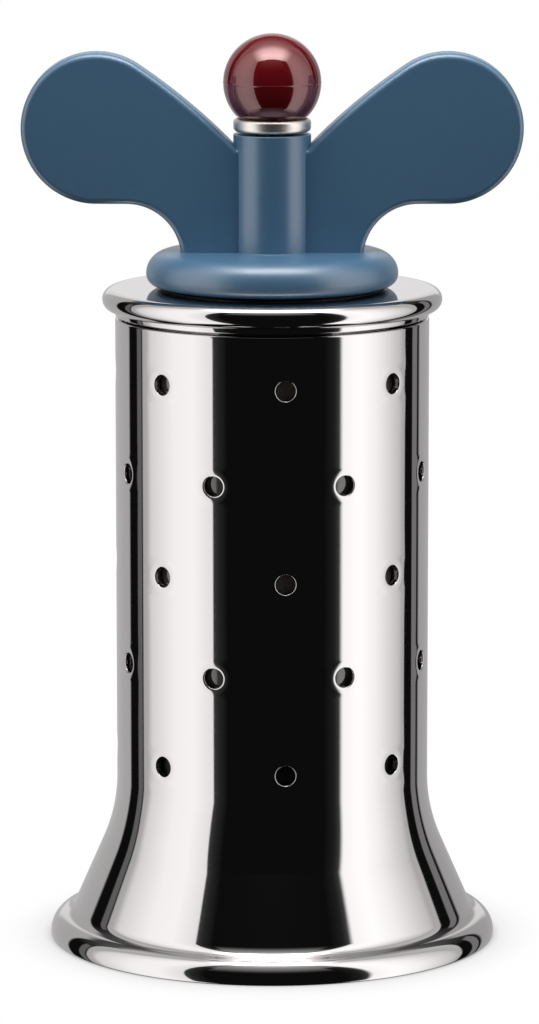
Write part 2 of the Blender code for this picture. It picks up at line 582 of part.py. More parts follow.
def make_handle(carrier):
    """A disc and column turned in one, with the wings joined on and the shaft's bore cut through."""
    edge = DISC_RADIUS - DISC_TOP_EDGE
    under = DISC_RADIUS - DISC_UNDER_EDGE
    top = DISC_THICKNESS + COLUMN_HEIGHT
    outline = [(0.0, top), (COLUMN_RADIUS, top), (COLUMN_RADIUS, DISC_THICKNESS)]
    outline += arc((edge, DISC_THICKNESS - DISC_TOP_EDGE), DISC_TOP_EDGE, 90, 0)
    outline += arc((under, DISC_UNDER_EDGE), DISC_UNDER_EDGE, 0, -90)
    outline += [(SPIGOT_RADIUS, 0.0), (SPIGOT_RADIUS, -SPIGOT_DEPTH), (0.0, -SPIGOT_DEPTH)]
    handle = add("handle", turned(outline, ROUND_LARGE), DISC_SEAT, carrier, BLUE_PLASTIC)

    right = wing_outline()
    foot = [(right[0][0], -WING_ROOT)]
    loop = foot + right + [(-x, z) for x, z in (foot + right)[::-1]]
    wings = slab(loop, WING_THICKNESS)
    rims = [e for e in wings.edges if abs(e.verts[0].co.y - e.verts[1].co.y) < MERGE]
    bmesh.ops.bevel(
        wings, geom=rims, offset=WING_EDGE, offset_type="OFFSET", affect="EDGES",
        segments=1, profile=0.5, material=-1,
    )
    boolean(handle, "UNION", "wings", wings, DISC_THICKNESS)

    recess = PLATE_THICKNESS + CLEARANCE
    socket = rod(PLATE_RADIUS + CLEARANCE, recess + CUT_PAST, ROUND_MEDIUM)
    boolean(handle, "DIFFERENCE", "recess", socket, -SPIGOT_DEPTH - CUT_PAST)
    bore = rod(SHAFT_BORE, top + SPIGOT_DEPTH + 2 * CUT_PAST, ROUND_SMALL)
    boolean(handle, "DIFFERENCE", "bore", bore, -SPIGOT_DEPTH - CUT_PAST)
    for side, reach in SIDES.items():
        drill = rod(SCREW_HOLE, PLATE_SCREW_LENGTH + CUT_PAST, ROUND_SMALL, reach * PLATE_SCREW_REACH)
        boolean(handle, "DIFFERENCE", f"hole_{side}", drill, -SPIGOT_DEPTH - CUT_PAST)


def make_turn_plate(carrier):
    shape = rod(PLATE_RADIUS, PLATE_THICKNESS, ROUND_MEDIUM)
    plate = add("turn_plate", shape, SPIGOT_FOOT, carrier, SHAFT_STEEL)
    through = PLATE_THICKNESS + 2 * CUT_PAST
    boolean(plate, "DIFFERENCE", "hole", prism(square(SQUARE_HOLE), through), -CUT_PAST)
    for side, reach in SIDES.items():
        place_x = reach * PLATE_SCREW_REACH
        drill = rod(SCREW_HOLE, through, ROUND_SMALL, place_x)
        boolean(plate, "DIFFERENCE", f"hole_{side}", drill, -CUT_PAST)
        make_screw(f"plate_screw_{side}", PLATE_SCREW_LENGTH, place_x, SPIGOT_FOOT, carrier)


def make_knob(carrier):
    """The ferrule on the column, and the ball with its threaded insert."""
    edge = FERRULE_RADIUS - FERRULE_EDGE
    outline = [(THREAD_BORE, FERRULE_THICKNESS), (THREAD_BORE, 0.0)]
    outline += arc((edge, FERRULE_EDGE), FERRULE_EDGE, -90, 0)
    outline += arc((edge, FERRULE_THICKNESS - FERRULE_EDGE), FERRULE_EDGE, 0, 90)
    add("ferrule", turned(outline, ROUND_MEDIUM), FERRULE_SEAT, carrier, STEEL)

    middle = math.sqrt(BALL_RADIUS**2 - BALL_SEAT_RADIUS**2)
    seat_angle = -math.degrees(math.asin(middle / BALL_RADIUS))
    socket = INSERT_RADIUS + CLEARANCE
    socket_top = INSERT_LENGTH + CLEARANCE
    outline = [(0.0, socket_top), (socket, socket_top), (socket, 0.0)]
    outline += arc((0.0, middle), BALL_RADIUS, seat_angle, 90)
    add("ball_knob", turned(outline, ROUND_MEDIUM), BALL_SEAT, carrier, RED_PLASTIC)
    insert = tube(THREAD_BORE, INSERT_RADIUS, INSERT_LENGTH, ROUND_SMALL)
    add("knob_insert", insert, BALL_SEAT, carrier, BRASS)


for old in list(bpy.data.objects):
    bpy.data.objects.remove(old)

SIDES = {"left": -1, "right": 1}
STEEL = finish("polished stainless steel", (0.83, 0.83, 0.82), 0.05, 1.0)
SHAFT_STEEL = finish("plain steel", (0.55, 0.55, 0.55), 0.35, 1.0)
BRASS = finish("brass", (0.72, 0.52, 0.22), 0.3, 1.0)
CERAMIC = finish("grinding ceramic", (0.80, 0.79, 0.75), 0.5)
NYLON = finish("black nylon", (0.03, 0.03, 0.03), 0.5)
SMOKED_PLASTIC = finish("smoked plastic", (0.06, 0.06, 0.065), 0.25)
BLUE_PLASTIC = finish("blue moulded plastic", (0.045, 0.115, 0.19), 0.4)
RED_PLASTIC = finish("red moulded plastic", (0.13, 0.006, 0.008), 0.1)

mill = axis("mill_axis")
drive = axis("drive_axis", mill)
grinder = axis("shaft_axis", drive)
head = axis("handle_axis", drive)
knob = axis("knob_axis", head)

make_shell(mill)
make_rim(mill)
make_mouth_bush(mill)
make_hopper(mill)
make_housing(mill)
make_burrs(mill, grinder)
make_guide(mill, drive)
make_bar(mill)
make_spring_set(mill, grinder)
make_shaft(grinder)
make_handle(head)
make_turn_plate(head)
make_knob(knob)
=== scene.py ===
import json
import math

import bmesh
import bpy
from mathutils import Matrix, Vector


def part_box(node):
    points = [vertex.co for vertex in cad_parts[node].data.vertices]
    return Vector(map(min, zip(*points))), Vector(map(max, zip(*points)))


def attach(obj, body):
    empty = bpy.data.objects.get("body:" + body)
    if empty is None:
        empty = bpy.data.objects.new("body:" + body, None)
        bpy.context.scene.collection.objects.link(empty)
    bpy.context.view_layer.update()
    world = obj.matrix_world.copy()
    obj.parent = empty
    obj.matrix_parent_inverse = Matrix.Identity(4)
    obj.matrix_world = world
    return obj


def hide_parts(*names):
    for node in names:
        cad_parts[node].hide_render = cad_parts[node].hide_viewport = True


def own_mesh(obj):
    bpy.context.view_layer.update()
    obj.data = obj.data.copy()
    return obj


mm = 0.001  # every size in the dictionaries below is in millimetres
gap = 0.3  # between pieces that touch

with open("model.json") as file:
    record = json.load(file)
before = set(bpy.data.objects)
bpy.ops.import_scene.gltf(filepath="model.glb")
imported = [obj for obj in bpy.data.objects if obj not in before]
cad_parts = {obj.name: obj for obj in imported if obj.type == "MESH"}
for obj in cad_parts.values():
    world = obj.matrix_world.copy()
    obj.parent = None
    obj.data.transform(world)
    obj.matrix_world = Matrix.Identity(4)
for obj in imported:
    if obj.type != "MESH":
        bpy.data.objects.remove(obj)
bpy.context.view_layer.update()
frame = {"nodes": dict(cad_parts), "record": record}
bodyOf = {node: body for body, nodes in frame["record"]["behaviour"]["bodies"].items() for node in nodes}
slotOf = {part["node"]: part["material_slot"] for part in frame["record"]["subparts"]}
print("frame loaded:", len(frame["nodes"]), "nodes")


def boxMm(node):
    low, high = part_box(node)
    return low / mm, high / mm


# finishes

def srgb(hexText):
    parts = [int(hexText[i:i + 2], 16) / 255 for i in (1, 3, 5)]
    linear = [c / 12.92 if c <= 0.04045 else ((c + 0.055) / 1.055) ** 2.4 for c in parts]
    return (*linear, 1.0)


def addNode(tree, kind, settings=None, links=None):
    node = tree.nodes.new(kind)
    for key, value in (settings or {}).items():
        if isinstance(key, str) and key[0].islower():
            setattr(node, key, value)
        else:
            node.inputs[key].default_value = value
    for key, source in (links or {}).items():
        tree.links.new(source, node.inputs[key])
    return node


# each finish has its grain in millimetres along X, Y and Z, a dark and a pale shade that follow the grain,
# the least and most roughness as haze, and its bump as strength and height in millimetres
looks = {
    # stainless steel, drawn and mirror polished: sharp reflections with a faint haze in rings round the axis
    "polished_steel": {
        "name": "stainless_steel_mirror_polished", "values": {"Base Color": srgb("#CECACA"), "Metallic": 1.0},
        "grain": (12, 12, 0.5), "haze": (0.025, 0.055), "bump": (0.05, 0.002),
    },
    # stainless steel, turned and lightly buffed: soft reflections drawn out along fine rings; its colour is
    # warmer than the polished steel's, a painted reflection of the red ball above
    "satin_steel": {
        "name": "stainless_steel_turned", "values": {"Base Color": srgb("#E6DED8"), "Metallic": 1.0},
        "grain": (8, 8, 0.25), "haze": (0.32, 0.44), "bump": (0.2, 0.004),
    },
    # mild steel, cut and zinc plated: dull grey with a soft mottle
    "plain_steel": {
        "name": "mild_steel_zinc_plated", "values": {"Metallic": 1.0},
        "grain": (1.2, 1.2, 1.2), "shades": ("#9C9FA2", "#B8B9B8"), "haze": (0.24, 0.4), "bump": (0.1, 0.003),
    },
    # brass, turned on a lathe and left bare: warm, with cutting rings
    "brass": {
        "name": "brass_turned", "values": {"Metallic": 1.0},
        "grain": (8, 8, 0.25), "shades": ("#B98A45", "#D0A45C"), "haze": (0.2, 0.36), "bump": (0.25, 0.005),
    },
    # alumina, pressed and fired without glaze: chalky off-white with fine pits
    "ceramic": {
        "name": "alumina_fired", "values": {"IOR": 1.7},
        "grain": (0.3, 0.3, 0.3), "shades": ("#D6D1C5", "#EDEAE2"), "haze": (0.45, 0.65), "bump": (0.4, 0.02),
    },
    # nylon, injection moulded: near black, dull, with a fine eroded grain
    "black_nylon": {
        "name": "nylon_moulded", "values": {"IOR": 1.53, "Specular IOR Level": 0.25},
        "grain": (0.3, 0.3, 0.3), "shades": ("#0E0E0F", "#161617"), "haze": (0.38, 0.55), "bump": (0.3, 0.01),
    },
    # styrene, moulded and tinted dark: glossy, so that it mirrors light that comes through the holes
    "smoked_plastic": {
        "name": "styrene_moulded_smoked", "values": {"IOR": 1.59, "Specular IOR Level": 1.0},
        "grain": (2.0, 2.0, 2.0), "shades": ("#504A46", "#5C5550"), "haze": (0.06, 0.12), "bump": (0.1, 0.01),
    },
    # ABS, injection moulded in a finely eroded mould: satin blue-grey; the real grain is finer and is drawn
    # at 0.5 mm so that it shows
    "blue_plastic": {
        "name": "abs_moulded_satin", "values": {"IOR": 1.6, "Specular IOR Level": 1.0},
        "grain": (0.5, 0.5, 0.5), "shades": ("#446B8B", "#4D7695"), "haze": (0.3, 0.4), "bump": (0.1, 0.003),
    },
    # phenolic resin, cast and polished: deep red, a little cloudy, and what it mirrors is tinged with red
    "red_plastic": {
        "name": "phenolic_resin_polished",
        "values": {"IOR": 1.62, "Specular IOR Level": 1.0, "Specular Tint": srgb("#FFD4D4")},
        "grain": (2.5, 2.5, 2.5), "shades": ("#570C13", "#660F15"), "haze": (0.035, 0.06),
    },
}
grainSpan = (0.3, 0.7)  # the part of the noise's range that the haze follows


def makeFinish(look):
    finish = bpy.data.materials.new(look["name"])
    finish.use_nodes = True
    tree = finish.node_tree
    shader = tree.nodes["Principled BSDF"]
    for socket, value in look["values"].items():
        shader.inputs[socket].default_value = value
    place = addNode(tree, "ShaderNodeTexCoord")
    sized = addNode(
        tree, "ShaderNodeMapping", {"Scale": tuple(1 / (size * mm) for size in look["grain"])},
        {"Vector": place.outputs["Object"]},
    )
    noise = addNode(
        tree, "ShaderNodeTexNoise", {"Scale": 1.0, "Detail": 3.0}, {"Vector": sized.outputs["Vector"]}
    )
    grain = noise.outputs["Fac"]
    if "shades" in look:
        dark, pale = look["shades"]
        shade = addNode(
            tree, "ShaderNodeMix", {"data_type": "RGBA", 6: srgb(dark), 7: srgb(pale)}, {0: grain}
        )
        tree.links.new(shade.outputs[2], shader.inputs["Base Color"])
    least, most = look["haze"]
    haze = addNode(
        tree, "ShaderNodeMapRange",
        {"From Min": grainSpan[0], "From Max": grainSpan[1], "To Min": least, "To Max": most},
        {"Value": grain},
    )
    tree.links.new(haze.outputs["Result"], shader.inputs["Roughness"])
    if "bump" in look:
        strength, height = look["bump"]
        rough = addNode(
            tree, "ShaderNodeBump", {"Strength": strength, "Distance": height * mm}, {"Height": grain}
        )
        tree.links.new(rough.outputs["Normal"], shader.inputs["Normal"])
    return finish


finishes = {slot: makeFinish(look) for slot, look in looks.items()}
for name, node in frame["nodes"].items():
    node.data.materials.clear()
    node.data.materials.append(finishes[slotOf[name]])
print("finishes:", len(finishes))


# modelling, in millimetres

def arcPoints(centre, radius, start, end, steps):
    angles = [math.radians(start + (end - start) * i / steps) for i in range(steps + 1)]
    return [(centre[0] + radius * math.cos(a), centre[1] + radius * math.sin(a)) for a in angles]


def roundCorner(before, corner, after, radius, steps=4):
    # the points of a fillet between two straight runs
    here = Vector(corner)
    back = (Vector(before) - here).normalized()
    on = (Vector(after) - here).normalized()
    half = back.angle(on) / 2
    centre = here + (back + on).normalized() * radius / math.sin(half)
    start = (here + back * radius / math.tan(half) - centre).normalized()
    end = (here + on * radius / math.tan(half) - centre).normalized()
    return [tuple(centre + start.slerp(end, i / steps) * radius) for i in range(steps + 1)]


def eased(corners, radius):
    # a closed outline with every corner rounded by the same small radius
    count = len(corners)
    points = []
    for i, corner in enumerate(corners):
        points += roundCorner(corners[i - 1], corner, corners[(i + 1) % count], radius)
    return points


def spun(outline, steps):
    # a closed outline of radius and height, spun about the axis; an edge on the axis is left out
    shape = bmesh.new()
    ring = [shape.verts.new((radius, 0, height)) for radius, height in outline]
    pairs = zip(ring, ring[1:] + ring[:1])
    sides = [shape.edges.new(pair) for pair in pairs if max(v.co.x for v in pair) > 0.001]
    bmesh.ops.spin(
        shape, geom=ring + sides, cent=(0, 0, 0), axis=(0, 0, 1),
        angle=math.tau, steps=steps, use_merge=True,
    )
    return shape


def toMesh(shape, name):
    bmesh.ops.remove_doubles(shape, verts=shape.verts, dist=0.0005)
    bmesh.ops.recalc_face_normals(shape, faces=shape.faces)
    bmesh.ops.scale(shape, vec=(mm, mm, mm), verts=shape.verts)
    mesh = bpy.data.meshes.new(name)
    shape.to_mesh(mesh)
    shape.free()
    return mesh


def combined(base, others, operation):
    # one closed skin from several meshes
    parts = [bpy.data.objects.new("part", mesh) for mesh in [base] + others]
    for part in parts:
        bpy.context.scene.collection.objects.link(part)
    for part in parts[1:]:
        step = parts[0].modifiers.new("combine", "BOOLEAN")
        step.operation = operation
        step.object = part
    view = bpy.context.evaluated_depsgraph_get()
    mesh = bpy.data.meshes.new_from_object(parts[0].evaluated_get(view))
    for part in parts:
        bpy.data.objects.remove(part)
    return mesh


def addPiece(name, mesh, node, smoothDegrees=35):
    # a finished piece that stands for a CAD node, with that node's body and finish
    mesh.shade_smooth()
    mesh.set_sharp_from_angle(angle=math.radians(smoothDegrees))
    mesh.materials.clear()
    mesh.materials.append(finishes[slotOf[node]])
    piece = bpy.data.objects.new(name, mesh)
    bpy.context.scene.collection.objects.link(piece)
    piece.modifiers.new("flat faces shade flat", "WEIGHTED_NORMAL").keep_sharp = True
    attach(piece, bodyOf[node])
    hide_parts(node)
    return piece


# shell: a wall drawn flat, holed, and then bent round

shell = {
    "radius": 22.7, "wall": 1.0, "topEdge": 0.4, "topSteps": 6,
    "bendStart": 24.0, "bendRadius": 24.5, "bendAngle": 23.7, "bendSteps": 20,
    "filletRadius": 2.4, "filletSteps": 36,
    "beadRadius": 2.9, "beadRise": 0.6, "beadSteps": 40, "beadFoot": -7, "footSteps": 4,
    "rows": 5, "holesRound": 8, "firstRow": 28.2, "lastRowDrop": 7.78,
    "turn": 4.85,  # degrees from the front to the first hole
    "seam": 1.66, "seamColumns": 2,  # where the tube is welded, the holes stand that much wider apart
    "cells": 24,  # from one hole of a row to the next
    "firstColumn": 7, "patch": 8,  # cells across the square that each hole is made in
    "holeRadius": 1.45, "lipRadius": 0.15, "lipSteps": 6,
    "dishRadius": 2.45, "dishDepth": 0.026, "dishSteps": 5,
}


def shellFlare(s):
    # outer wall from the start of the bend, through the hollow above the bead, to the surface it stands on
    angle = math.radians(s["bendAngle"])
    bend = (s["radius"] + s["bendRadius"], s["bendStart"])
    outline = arcPoints(bend, s["bendRadius"], 180, 180 + s["bendAngle"], s["bendSteps"])
    bead = (boxMm("shell")[1].x - s["beadRadius"], s["beadRise"])
    coneRadius = outline[-1][0] + (outline[-1][1] - bead[1]) * math.tan(angle)
    reach = s["beadRadius"] + s["filletRadius"]
    meet = angle + math.acos(((coneRadius - bead[0]) * math.cos(angle) + s["filletRadius"]) / reach)
    hollow = (bead[0] + reach * math.cos(meet), bead[1] + reach * math.sin(meet))
    turn = math.degrees(meet)
    outline += arcPoints(hollow, s["filletRadius"], 180 + s["bendAngle"], 180 + turn, s["filletSteps"])
    outline += arcPoints(bead, s["beadRadius"], turn, s["beadFoot"], s["beadSteps"])[1:]
    edge, height = outline[-1]
    outline += arcPoints((edge - height, height), height, 0, -90, s["footSteps"])[1:]
    return outline


def shellRows(s, cell):
    # the wall's closed outline as rows of cells
    height = boxMm("shell")[1].z
    half = s["patch"] // 2
    rowStep = (height - s["lastRowDrop"] - s["firstRow"]) / (s["rows"] - 1)
    middles = [s["firstRow"] + row * rowStep for row in range(s["rows"])]
    straight = [height - s["topEdge"]]
    for middle in middles[::-1]:
        straight.append((straight[-1] + middle + half * cell) / 2)
        straight += [middle + (half - i) * cell for i in range(s["patch"] + 1)]
    boreRadius = s["radius"] - s["wall"]
    topCentre = (s["radius"] - s["topEdge"], height - s["topEdge"])
    outer = arcPoints(topCentre, s["topEdge"], 90, 0, s["topSteps"])[:-1]
    outer += [(s["radius"], z) for z in straight] + shellFlare(s)
    bend = (s["radius"] + s["bendRadius"], s["bendStart"])
    inner = arcPoints(bend, s["bendRadius"] + s["wall"], 180 + s["bendAngle"], 180, s["bendSteps"])
    beadTop = s["beadRise"] + s["beadRadius"]
    footBore = inner[0][0] + (inner[0][1] - beadTop) * math.tan(math.radians(s["bendAngle"]))
    inner = [(footBore, 0.0), (footBore, beadTop)] + inner
    inner += [(boreRadius, z) for z in straight[:0:-1]] + [(boreRadius, height)]
    return outer + inner + outer[:1], middles


def bore(shape, border, centre, rings):
    # draws a hole's square border in, ring by ring of radius and depth
    edges = border
    for number, (radius, depth) in enumerate(rings):
        made = bmesh.ops.extrude_edge_only(shape, edges=edges)["geom"]
        fresh = {g for g in made if isinstance(g, bmesh.types.BMVert)}
        for v in fresh:
            across, up = v.co.x - centre[0], v.co.z - centre[1]
            turn = math.atan2(up, across)
            if number == 0:
                # the points of the square are spread evenly round the circle
                side = round(turn / math.radians(90))
                along = up / across if side % 2 == 0 else -across / up
                turn = math.radians(90 * side + 45 * along)
            v.co.x = centre[0] + radius * math.cos(turn)
            v.co.z = centre[1] + radius * math.sin(turn)
            v.co.y += depth
        edges = [g for g in made if isinstance(g, bmesh.types.BMEdge) and set(g.verts) <= fresh]
    return edges


def holeRings(s):
    # radius and step in depth: a shallow dish, then the rounded lip
    lip = s["holeRadius"] + s["lipRadius"]
    width = s["dishRadius"] - lip
    lean = math.atan(2 * s["dishDepth"] / width)
    rings = [(s["dishRadius"], 0.0)]
    for i in range(1, s["dishSteps"] + 1):
        share = i / s["dishSteps"]
        rings.append((s["dishRadius"] - width * share, -s["dishDepth"] * share ** 2))
    for i in range(1, s["lipSteps"] + 1):
        tilt = lean + (math.pi / 2 - lean) * i / s["lipSteps"]
        depth = -s["dishDepth"] - s["lipRadius"] * (math.cos(lean) - math.cos(tilt))
        rings.append((s["holeRadius"] + s["lipRadius"] * (1 - math.sin(tilt)), depth))
    return [(radius, depth - before) for (radius, depth), (_, before) in zip(rings, rings[:1] + rings)]


def makeShell():
    s = shell
    columns = s["cells"] * s["holesRound"]
    cell = (math.tau * s["radius"] - s["seam"]) / columns
    rows, middles = shellRows(s, cell)
    across = [i * cell for i in range(columns)]
    across += [columns * cell + s["seam"] * i / s["seamColumns"] for i in range(s["seamColumns"] + 1)]
    shape = bmesh.new()
    bmesh.ops.create_grid(shape, x_segments=len(across) - 1, y_segments=len(rows) - 1, size=1.0)
    spot = {}
    for v in shape.verts:
        column = round((v.co.x + 1) / 2 * (len(across) - 1))
        row = round((v.co.y + 1) / 2 * (len(rows) - 1))
        spot[v] = (column, row)
        v.co = (across[column], rows[row][0] - s["radius"], rows[row][1])

    # each hole takes a square of cells out of both sides of the wall
    half = s["patch"] // 2
    innerEdge = s["holeRadius"] + s["lipRadius"] / 2
    innerRings = [(s["dishRadius"], 0.0), (innerEdge, 0.0), (s["holeRadius"], s["lipRadius"] / 2)]
    cells = {min(spot[v] for v in face.verts): face for face in shape.faces}
    for row, middle in enumerate(middles):
        levels = [j for j, (_, z) in enumerate(rows) if abs(z - middle) < 0.001]
        for hole in range(s["holesRound"]):
            column = s["firstColumn"] + hole * s["cells"] + (row % 2) * s["cells"] // 2
            reach = range(-half, half)
            rims = []
            for level, rings in zip(levels, (holeRings(s), innerRings)):
                square = {cells[(column + i, level + j)] for i in reach for j in reach}
                border = [e for f in square for e in f.edges if sum(g in square for g in e.link_faces) == 1]
                bmesh.ops.delete(shape, geom=list(square), context="FACES")
                rims += bore(shape, border, (across[column], middle), rings)
            bmesh.ops.bridge_loops(shape, edges=rims)

    # the flat wall is bent round the axis
    for v in shape.verts:
        angle = math.radians(s["turn"]) + (v.co.x - across[s["firstColumn"]]) / s["radius"]
        radius = s["radius"] + v.co.y
        v.co = (radius * math.sin(angle), -radius * math.cos(angle), v.co.z)
    addPiece("shell_wall", toMesh(shape, "shell_wall"), "shell")


makeShell()
print("shell made")


# turned steel and plastic round the mouth

rim = {
    "thickness": 3.1, "noseSteps": 32, "small": 0.15, "steps": 192,
    "mouth": 16.0, "stepWidth": 0.4, "stepDepth": 0.8, "lip": 3.3, "lipWall": 1.6,
}
bush = {"flange": 0.6, "wall": 1.1, "edge": 0.12, "steps": 128}
hopper = {"wall": 1.2, "edge": 0.2, "steps": 160}


def makeRim():
    low, high = boxMm("rim_ring")
    seat = low.z + rim["lip"]
    edge = rim["thickness"] / 2
    lipRadius = boxMm("hopper_tube")[1].x - hopper["wall"] - gap
    lipBore = lipRadius - rim["lipWall"]
    step = rim["mouth"] + rim["stepWidth"]
    stepFloor = high.z - rim["stepDepth"]
    outline = [(rim["mouth"], stepFloor), (rim["mouth"], seat), (lipBore, seat)]
    outline += [(lipBore, low.z), (lipRadius, low.z), (lipRadius, seat)]
    collar = [(lipRadius, seat), (shell["radius"], seat), (shell["radius"], high.z)]
    outline += roundCorner(*collar, rim["small"]) + [(shell["radius"], high.z - rim["thickness"])]
    outline += arcPoints((high.x - edge, high.z - edge), edge, -90, 90, rim["noseSteps"])
    outline += roundCorner((high.x, high.z), (step, high.z), (step, stepFloor), rim["small"])
    outline += [(step, stepFloor)]
    addPiece("rim", toMesh(spun(outline, rim["steps"]), "rim"), "rim_ring")


def makeBush():
    low, high = boxMm("mouth_bush")
    radius = rim["mouth"] - gap
    seat = high.z - bush["flange"]
    inside = radius - bush["wall"]
    flange = radius + rim["stepWidth"]
    outline = [(inside, low.z), (radius, low.z), (radius, seat)]
    outline += [(flange, seat), (flange, high.z), (inside, high.z)]
    ring = spun(eased(outline, bush["edge"]), bush["steps"])
    addPiece("mouth_ring", toMesh(ring, "mouth_ring"), "mouth_bush")


def makeHopper():
    low, high = boxMm("hopper_tube")
    inside = high.x - hopper["wall"]
    outline = [(inside, low.z), (high.x, low.z), (high.x, high.z), (inside, high.z)]
    tube = spun(eased(outline, hopper["edge"]), hopper["steps"])
    addPiece("hopper", toMesh(tube, "hopper"), "hopper_tube")


makeRim()
makeBush()
makeHopper()
print("mouth and hopper made")


# handle: disc and column turned in one, with the wings joined on

handle = {
    "bore": 3.48, "columnRadius": 5.6, "columnEdge": 0.15, "columnFoot": 0.1,
    "discThickness": 4.95, "discEdge": 3.2, "underEdge": 1.7, "discCover": 0.9,
    "spigotEdge": 0.4, "recessRadius": 10.5, "recessDepth": 1.8,
    "steps": 160, "discEdgeSteps": 20, "underEdgeSteps": 14,
    "wingThickness": 5.8, "wingEdge": 0.9, "wingEdgeSteps": 5, "wingRoot": 2.0,
    "lobeReach": 25.25, "lobeRise": 17.8, "lobeRadius": 10.83,
    "topBend": 88.0, "topLean": 34.0, "topTurn": 12.0, "underBend": 7.9, "underReach": 21.0,
    "underSteps": 24, "lobeSteps": 72, "topSteps": 16, "smoothDegrees": 30,
}


def wings(h, discTop):
    # both wings as one slab that runs through the column
    lean = 90 + h["topLean"]
    lobe = (h["lobeReach"], discTop + h["lobeRise"])
    under = (h["underReach"], lobe[1] - h["lobeRadius"] - h["underBend"])
    away = h["topBend"] - h["lobeRadius"]
    upper = (lobe[0] - away * math.cos(math.radians(lean)), lobe[1] - away * math.sin(math.radians(lean)))
    right = [(under[0] - h["underBend"], discTop - h["wingRoot"])]
    right += arcPoints(under, h["underBend"], 180, 90, h["underSteps"])
    right += arcPoints(lobe, h["lobeRadius"], -90, lean, h["lobeSteps"])[1:]
    right += arcPoints(upper, h["topBend"], lean, lean + h["topTurn"], h["topSteps"])[1:]
    outline = right + [(-x, z) for x, z in right[::-1]]
    shape = bmesh.new()
    half = h["wingThickness"] / 2
    face = shape.faces.new([shape.verts.new((x, -half, z)) for x, z in outline])
    grown = bmesh.ops.extrude_face_region(shape, geom=[face])["geom"]
    far = [g for g in grown if isinstance(g, bmesh.types.BMVert)]
    bmesh.ops.translate(shape, verts=far, vec=(0, h["wingThickness"], 0))
    rims = [
        e for e in shape.edges
        if abs(e.verts[0].co.y - e.verts[1].co.y) < 0.01 and max(v.co.z for v in e.verts) > right[0][1] + 0.01
    ]
    bmesh.ops.bevel(
        shape, geom=rims, offset=h["wingEdge"], offset_type="OFFSET", affect="EDGES",
        segments=h["wingEdgeSteps"], profile=0.5, material=-1,
    )
    return shape


def makeHandle():
    h = handle
    foot = boxMm("handle")[0].z
    bushHigh = boxMm("mouth_bush")[1]
    columnTop = boxMm("ferrule")[0].z - gap
    discRadius = bushHigh.x + h["discCover"]
    discSeat = bushHigh.z + gap
    discTop = discSeat + h["discThickness"]
    column = h["columnRadius"]
    spigot = rim["mouth"] - bush["wall"] - 2 * gap
    recessTop = foot + h["recessDepth"]
    outline = [(h["bore"], recessTop), (h["bore"], columnTop)]
    outline += roundCorner((h["bore"], columnTop), (column, columnTop), (column, discTop), h["columnEdge"])
    outline += roundCorner((column, columnTop), (column, discTop), (discRadius, discTop), h["columnFoot"])
    upperEdge = (discRadius - h["discEdge"], discTop - h["discEdge"])
    outline += arcPoints(upperEdge, h["discEdge"], 90, 0, h["discEdgeSteps"])
    lowerEdge = (discRadius - h["underEdge"], discSeat + h["underEdge"])
    outline += arcPoints(lowerEdge, h["underEdge"], 0, -90, h["underEdgeSteps"])
    outline += [(spigot, discSeat)]
    outline += roundCorner((spigot, discSeat), (spigot, foot), (h["recessRadius"], foot), h["spigotEdge"])
    outline += [(h["recessRadius"], foot), (h["recessRadius"], recessTop)]
    body = toMesh(spun(outline, h["steps"]), "handle_body")
    mesh = combined(body, [toMesh(wings(h, discTop), "wings")], "UNION")
    addPiece("winged_handle", mesh, "handle", h["smoothDegrees"])


makeHandle()
print("handle made")


# knob

knob = {
    "ballRadius": 7.05, "seatRadius": 5.2, "lowerSteps": 40, "upperSteps": 60,
    "ridge": 0.05, "ridgeWidth": 0.16,
    "ferruleEdge": 0.7, "edgeSteps": 8, "bore": 2.3, "steps": 128,
}


def makeFerrule():
    low, high = boxMm("ferrule")
    edge = knob["ferruleEdge"]
    middle = high.x - edge
    outline = [(knob["bore"], high.z), (knob["bore"], low.z)]
    outline += arcPoints((middle, low.z + edge), edge, -90, 0, knob["edgeSteps"])
    outline += arcPoints((middle, high.z - edge), edge, 0, 90, knob["edgeSteps"])
    addPiece("knob_ferrule", toMesh(spun(outline, knob["steps"]), "knob_ferrule"), "ferrule")


def makeBall():
    # a ball with the faint ridge where the two halves of its mould met
    low, high = boxMm("ball_knob")
    insertHigh = boxMm("knob_insert")[1]
    radius = knob["ballRadius"]
    middle = high.z - radius
    seat = -math.degrees(math.acos(knob["seatRadius"] / radius))
    ridge = math.degrees(knob["ridgeWidth"] / 2 / radius)
    socket, socketTop = insertHigh.x + gap, insertHigh.z + gap
    outline = [(0.0, socketTop), (socket, socketTop), (socket, low.z)]
    outline += arcPoints((0.0, middle), radius, seat, -ridge, knob["lowerSteps"])
    outline += [(radius + knob["ridge"], middle)]
    outline += arcPoints((0.0, middle), radius, ridge, 90, knob["upperSteps"])
    addPiece("ball", toMesh(spun(outline, knob["steps"]), "ball"), "ball_knob")


makeFerrule()
makeBall()
print("knob made")


# shaft and screws: round ends with real threads

shaft = {
    "side": 4.5, "edge": 0.3, "collarThickness": 1.5, "collarEdge": 0.25,
    "thread": 2.0, "threadLength": 14.5, "overlap": 0.4, "steps": 64,
}
thread = {
    "pitch": 0.8, "depth": 0.45, "tip": 0.5, "stepsToTurn": 32,
    "crest": (0.4, 0.6),  # where the ridge is full, in shares of the pitch
    "startBelow": 1.5, "spareTurns": 2,  # turns past the ends, which are cut off
}
screw = {
    "head": 2.1, "headHeight": 1.4, "crown": 0.5, "crownSteps": 8, "shank": 1.1,
    "cross": (0.5, 2.2), "crossDepth": 0.85, "crossEdge": 0.125, "steps": 64,
}


